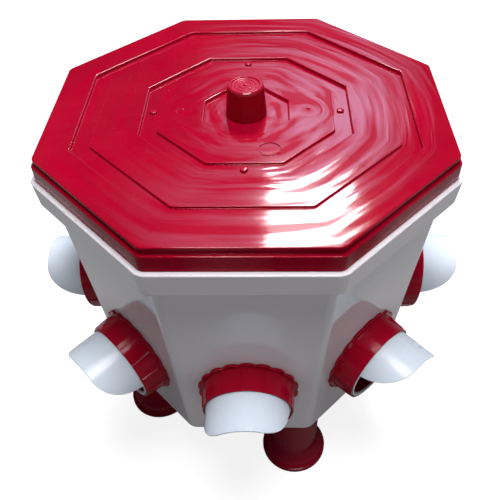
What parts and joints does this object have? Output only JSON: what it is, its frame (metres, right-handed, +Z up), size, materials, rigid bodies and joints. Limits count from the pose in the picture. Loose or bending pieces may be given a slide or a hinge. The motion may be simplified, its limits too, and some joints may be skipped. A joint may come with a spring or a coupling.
{
  "type": "poultry feeder",
  "caption": "Octagonal tapered feed hopper on legs, with hooded side ports clamped by ribbed ring nuts, and a lift-off knobbed lid.",
  "frame": {"origin": "on the ground under the middle of the hopper", "axes": "+Z up; -Y is the front, towards the port that the picture shows nearest; +X is the viewer's right"},
  "size_m": [0.4538, 0.4538, 0.4282],
  "materials": {
    "white_plastic": "gloss",
    "red_plastic": "gloss",
    "dark_red_plastic": "gloss",
    "rubber": "matte",
    "steel": "satin"
  },
  "bodies": {
    "bin": {"hopper": "white_plastic", "feed_cone": "white_plastic", "cone_screw": "steel", "leg_right": "dark_red_plastic", "leg_back": "dark_red_plastic", "leg_left": "dark_red_plastic", "leg_front": "dark_red_plastic", "leg_bolt_right": "steel", "leg_bolt_back": "steel", "leg_bolt_left": "steel", "leg_bolt_front": "steel", "leg_nut_right": "steel", "leg_nut_back": "steel", "leg_nut_left": "steel", "leg_nut_front": "steel", "gasket_right": "rubber", "gasket_back_right": "rubber", "gasket_back": "rubber", "gasket_back_left": "rubber", "gasket_left": "rubber", "gasket_front_left": "rubber", "gasket_front": "rubber", "gasket_front_right": "rubber"},
    "lid_group": {"lid": "red_plastic", "lid_knob": "red_plastic", "knob_screw": "steel", "lid_rivet_right": "red_plastic", "lid_rivet_back": "red_plastic", "lid_rivet_left": "red_plastic", "lid_rivet_front": "red_plastic"},
    "port_right": {"visor_right": "white_plastic", "port_sleeve_right": "dark_red_plastic"},
    "nut_right": {"ring_nut_right": "red_plastic"},
    "port_back_right": {"visor_back_right": "white_plastic", "port_sleeve_back_right": "dark_red_plastic"},
    "nut_back_right": {"ring_nut_back_right": "red_plastic"},
    "port_back": {"visor_back": "white_plastic", "port_sleeve_back": "dark_red_plastic"},
    "nut_back": {"ring_nut_back": "red_plastic"},
    "port_back_left": {"visor_back_left": "white_plastic", "port_sleeve_back_left": "dark_red_plastic"},
    "nut_back_left": {"ring_nut_back_left": "red_plastic"},
    "port_left": {"visor_left": "white_plastic", "port_sleeve_left": "dark_red_plastic"},
    "nut_left": {"ring_nut_left": "red_plastic"},
    "port_front_left": {"visor_front_left": "white_plastic", "port_sleeve_front_left": "dark_red_plastic"},
    "nut_front_left": {"ring_nut_front_left": "red_plastic"},
    "port_front": {"visor_front": "white_plastic", "port_sleeve_front": "dark_red_plastic"},
    "nut_front": {"ring_nut_front": "red_plastic"},
    "port_front_right": {"visor_front_right": "white_plastic", "port_sleeve_front_right": "dark_red_plastic"},
    "nut_front_right": {"ring_nut_front_right": "red_plastic"}
  },
  "joints": [
    {"name": "lid_lift", "type": "slide", "parent": "bin", "child": "lid_group", "axis": [0, 0, 1], "range_m": [0, 0.15]},
    {"name": "visor_turn_right", "type": "hinge", "parent": "bin", "child": "port_right", "pos_m": [0.1614, 0, 0.1889], "axis": [0.9969, 0, -0.0783], "continuous": true},
    {"name": "nut_turn_right", "type": "hinge", "parent": "bin", "child": "nut_right", "pos_m": [0.1614, 0, 0.1889], "axis": [0.9969, 0, -0.0783], "range_deg": [0, 1350]},
    {"name": "visor_turn_back_right", "type": "hinge", "parent": "bin", "child": "port_back_right", "pos_m": [0.11413, 0.11413, 0.1889], "axis": [0.7049, 0.7049, -0.0783], "continuous": true},
    {"name": "nut_turn_back_right", "type": "hinge", "parent": "bin", "child": "nut_back_right", "pos_m": [0.11413, 0.11413, 0.1889], "axis": [0.7049, 0.7049, -0.0783], "range_deg": [0, 1350]},
    {"name": "visor_turn_back", "type": "hinge", "parent": "bin", "child": "port_back", "pos_m": [0, 0.1614, 0.1889], "axis": [0, 0.9969, -0.0783], "continuous": true},
    {"name": "nut_turn_back", "type": "hinge", "parent": "bin", "child": "nut_back", "pos_m": [0, 0.1614, 0.1889], "axis": [0, 0.9969, -0.0783], "range_deg": [0, 1350]},
    {"name": "visor_turn_back_left", "type": "hinge", "parent": "bin", "child": "port_back_left", "pos_m": [-0.11413, 0.11413, 0.1889], "axis": [-0.7049, 0.7049, -0.0783], "continuous": true},
    {"name": "nut_turn_back_left", "type": "hinge", "parent": "bin", "child": "nut_back_left", "pos_m": [-0.11413, 0.11413, 0.1889], "axis": [-0.7049, 0.7049, -0.0783], "range_deg": [0, 1350]},
    {"name": "visor_turn_left", "type": "hinge", "parent": "bin", "child": "port_left", "pos_m": [-0.1614, 0, 0.1889], "axis": [-0.9969, 0, -0.0783], "continuous": true},
    {"name": "nut_turn_left", "type": "hinge", "parent": "bin", "child": "nut_left", "pos_m": [-0.1614, 0, 0.1889], "axis": [-0.9969, 0, -0.0783], "range_deg": [0, 1350]},
    {"name": "visor_turn_front_left", "type": "hinge", "parent": "bin", "child": "port_front_left", "pos_m": [-0.11413, -0.11413, 0.1889], "axis": [-0.7049, -0.7049, -0.0783], "continuous": true},
    {"name": "nut_turn_front_left", "type": "hinge", "parent": "bin", "child": "nut_front_left", "pos_m": [-0.11413, -0.11413, 0.1889], "axis": [-0.7049, -0.7049, -0.0783], "range_deg": [0, 1350]},
    {"name": "visor_turn_front", "type": "hinge", "parent": "bin", "child": "port_front", "pos_m": [0, -0.1614, 0.1889], "axis": [0, -0.9969, -0.0783], "continuous": true},
    {"name": "nut_turn_front", "type": "hinge", "parent": "bin", "child": "nut_front", "pos_m": [0, -0.1614, 0.1889], "axis": [0, -0.9969, -0.0783], "range_deg": [0, 1350]},
    {"name": "visor_turn_front_right", "type": "hinge", "parent": "bin", "child": "port_front_right", "pos_m": [0.11413, -0.11413, 0.1889], "axis": [0.7049, -0.7049, -0.0783], "continuous": true},
    {"name": "nut_turn_front_right", "type": "hinge", "parent": "bin", "child": "nut_front_right", "pos_m": [0.11413, -0.11413, 0.1889], "axis": [0.7049, -0.7049, -0.0783], "range_deg": [0, 1350]}
  ]
}
